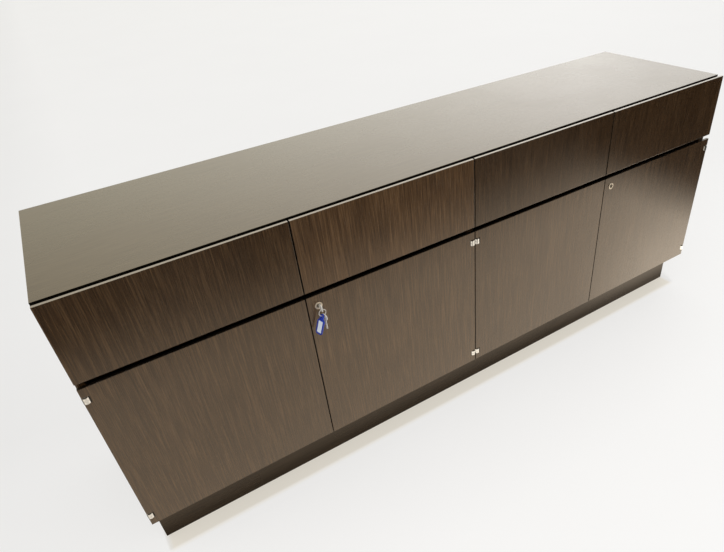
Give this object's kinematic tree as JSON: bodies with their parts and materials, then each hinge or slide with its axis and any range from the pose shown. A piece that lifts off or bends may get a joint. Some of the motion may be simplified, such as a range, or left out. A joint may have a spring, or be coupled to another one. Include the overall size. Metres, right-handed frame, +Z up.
{
  "type": "office credenza",
  "caption": "Long low office credenza with a row of handleless drawers over hinged, lockable cupboard doors, on a recessed plinth; dark veneer and chrome hinges.",
  "frame": {"origin": "on the floor, under the middle of the whole object's box", "axes": "+X to the right seen from the front, +Y from the front to the back, +Z up"},
  "size_m": [2, 0.5132, 0.807],
  "materials": {
    "top_wood": "satin lacquered dark veneer, grain along the length",
    "front_wood": "satin dark striped veneer, upright grain",
    "inside_wood": "satin dark veneer",
    "plinth_wood": "satin dark stain",
    "drawer_wood": "lacquered solid wood",
    "hinge_chrome": "polished",
    "lock_nickel": "nickel plated",
    "tag_plastic": "glossy translucent plastic"
  },
  "bodies": {
    "carcass": {"top_panel": "top_wood", "side_panel_left": "front_wood", "side_panel_right": "front_wood", "bottom_panel": "inside_wood", "back_panel": "inside_wood", "drawer_deck": "inside_wood", "centre_partition": "inside_wood", "drawer_divider_left": "inside_wood", "drawer_divider_right": "inside_wood", "shelf_left": "inside_wood", "shelf_right": "inside_wood", "plinth_frame": "plinth_wood", "hinge_plate_left_upper": "hinge_chrome", "hinge_plate_left_lower": "hinge_chrome", "hinge_plate_centre_upper": "hinge_chrome", "hinge_plate_centre_lower": "hinge_chrome", "hinge_plate_right_upper": "hinge_chrome", "hinge_plate_right_lower": "hinge_chrome"},
    "drawer_1": {"drawer_1_front": "front_wood", "drawer_1_side_left": "drawer_wood", "drawer_1_side_right": "drawer_wood", "drawer_1_back": "drawer_wood", "drawer_1_bottom": "drawer_wood"},
    "drawer_2": {"drawer_2_front": "front_wood", "drawer_2_side_left": "drawer_wood", "drawer_2_side_right": "drawer_wood", "drawer_2_back": "drawer_wood", "drawer_2_bottom": "drawer_wood"},
    "drawer_3": {"drawer_3_front": "front_wood", "drawer_3_side_left": "drawer_wood", "drawer_3_side_right": "drawer_wood", "drawer_3_back": "drawer_wood", "drawer_3_bottom": "drawer_wood"},
    "drawer_4": {"drawer_4_front": "front_wood", "drawer_4_side_left": "drawer_wood", "drawer_4_side_right": "drawer_wood", "drawer_4_back": "drawer_wood", "drawer_4_bottom": "drawer_wood"},
    "door_1": {"door_1": "front_wood", "hinge_leaf_1_upper": "hinge_chrome", "hinge_leaf_1_lower": "hinge_chrome"},
    "door_2": {"door_2": "front_wood", "hinge_leaf_2_upper": "hinge_chrome", "hinge_leaf_2_lower": "hinge_chrome", "lock_housing_left": "lock_nickel"},
    "door_3": {"door_3": "front_wood", "hinge_leaf_3_upper": "hinge_chrome", "hinge_leaf_3_lower": "hinge_chrome"},
    "door_4": {"door_4": "front_wood", "hinge_leaf_4_upper": "hinge_chrome", "hinge_leaf_4_lower": "hinge_chrome", "lock_housing_right": "lock_nickel"},
    "left_lock_plug": {"lock_cylinder_left": "lock_nickel", "key": "lock_nickel"},
    "right_lock_plug": {"lock_cylinder_right": "lock_nickel"},
    "key_bunch": {"key_ring": "lock_nickel", "key_tag": "tag_plastic", "spare_key": "lock_nickel"}
  },
  "joints": [
    {"name": "drawer_1_slide", "type": "slide", "parent": "carcass", "child": "drawer_1", "axis": [0, -1, 0], "range_m": [0, 0.36]},
    {"name": "drawer_2_slide", "type": "slide", "parent": "carcass", "child": "drawer_2", "axis": [0, -1, 0], "range_m": [0, 0.36]},
    {"name": "drawer_3_slide", "type": "slide", "parent": "carcass", "child": "drawer_3", "axis": [0, -1, 0], "range_m": [0, 0.36]},
    {"name": "drawer_4_slide", "type": "slide", "parent": "carcass", "child": "drawer_4", "axis": [0, -1, 0], "range_m": [0, 0.36]},
    {"name": "door_1_hinge", "type": "hinge", "parent": "carcass", "child": "door_1", "pos_m": [-0.992, -0.22336, 0.3675], "axis": [0, 0, -1], "range_deg": [0, 170]},
    {"name": "door_2_hinge", "type": "hinge", "parent": "carcass", "child": "door_2", "pos_m": [-0.008, -0.22336, 0.3675], "axis": [0, 0, 1], "range_deg": [0, 85]},
    {"name": "door_3_hinge", "type": "hinge", "parent": "carcass", "child": "door_3", "pos_m": [0.008, -0.22336, 0.3675], "axis": [0, 0, -1], "range_deg": [0, 85]},
    {"name": "door_4_hinge", "type": "hinge", "parent": "carcass", "child": "door_4", "pos_m": [0.992, -0.22336, 0.3675], "axis": [0, 0, 1], "range_deg": [0, 170]},
    {"name": "left_lock_turn", "type": "hinge", "parent": "door_2", "child": "left_lock_plug", "pos_m": [-0.4715, -0.22736, 0.569], "axis": [0, -1, 0], "range_deg": [0, 90]},
    {"name": "right_lock_turn", "type": "hinge", "parent": "door_4", "child": "right_lock_plug", "pos_m": [0.5285, -0.22736, 0.569], "axis": [0, -1, 0], "range_deg": [0, 90]},
    {"name": "key_bunch_swing", "type": "hinge", "parent": "left_lock_plug", "child": "key_bunch", "pos_m": [-0.4715, -0.24626, 0.569], "axis": [1, 0, 0], "range_deg": [-60, 5]}
  ]
}
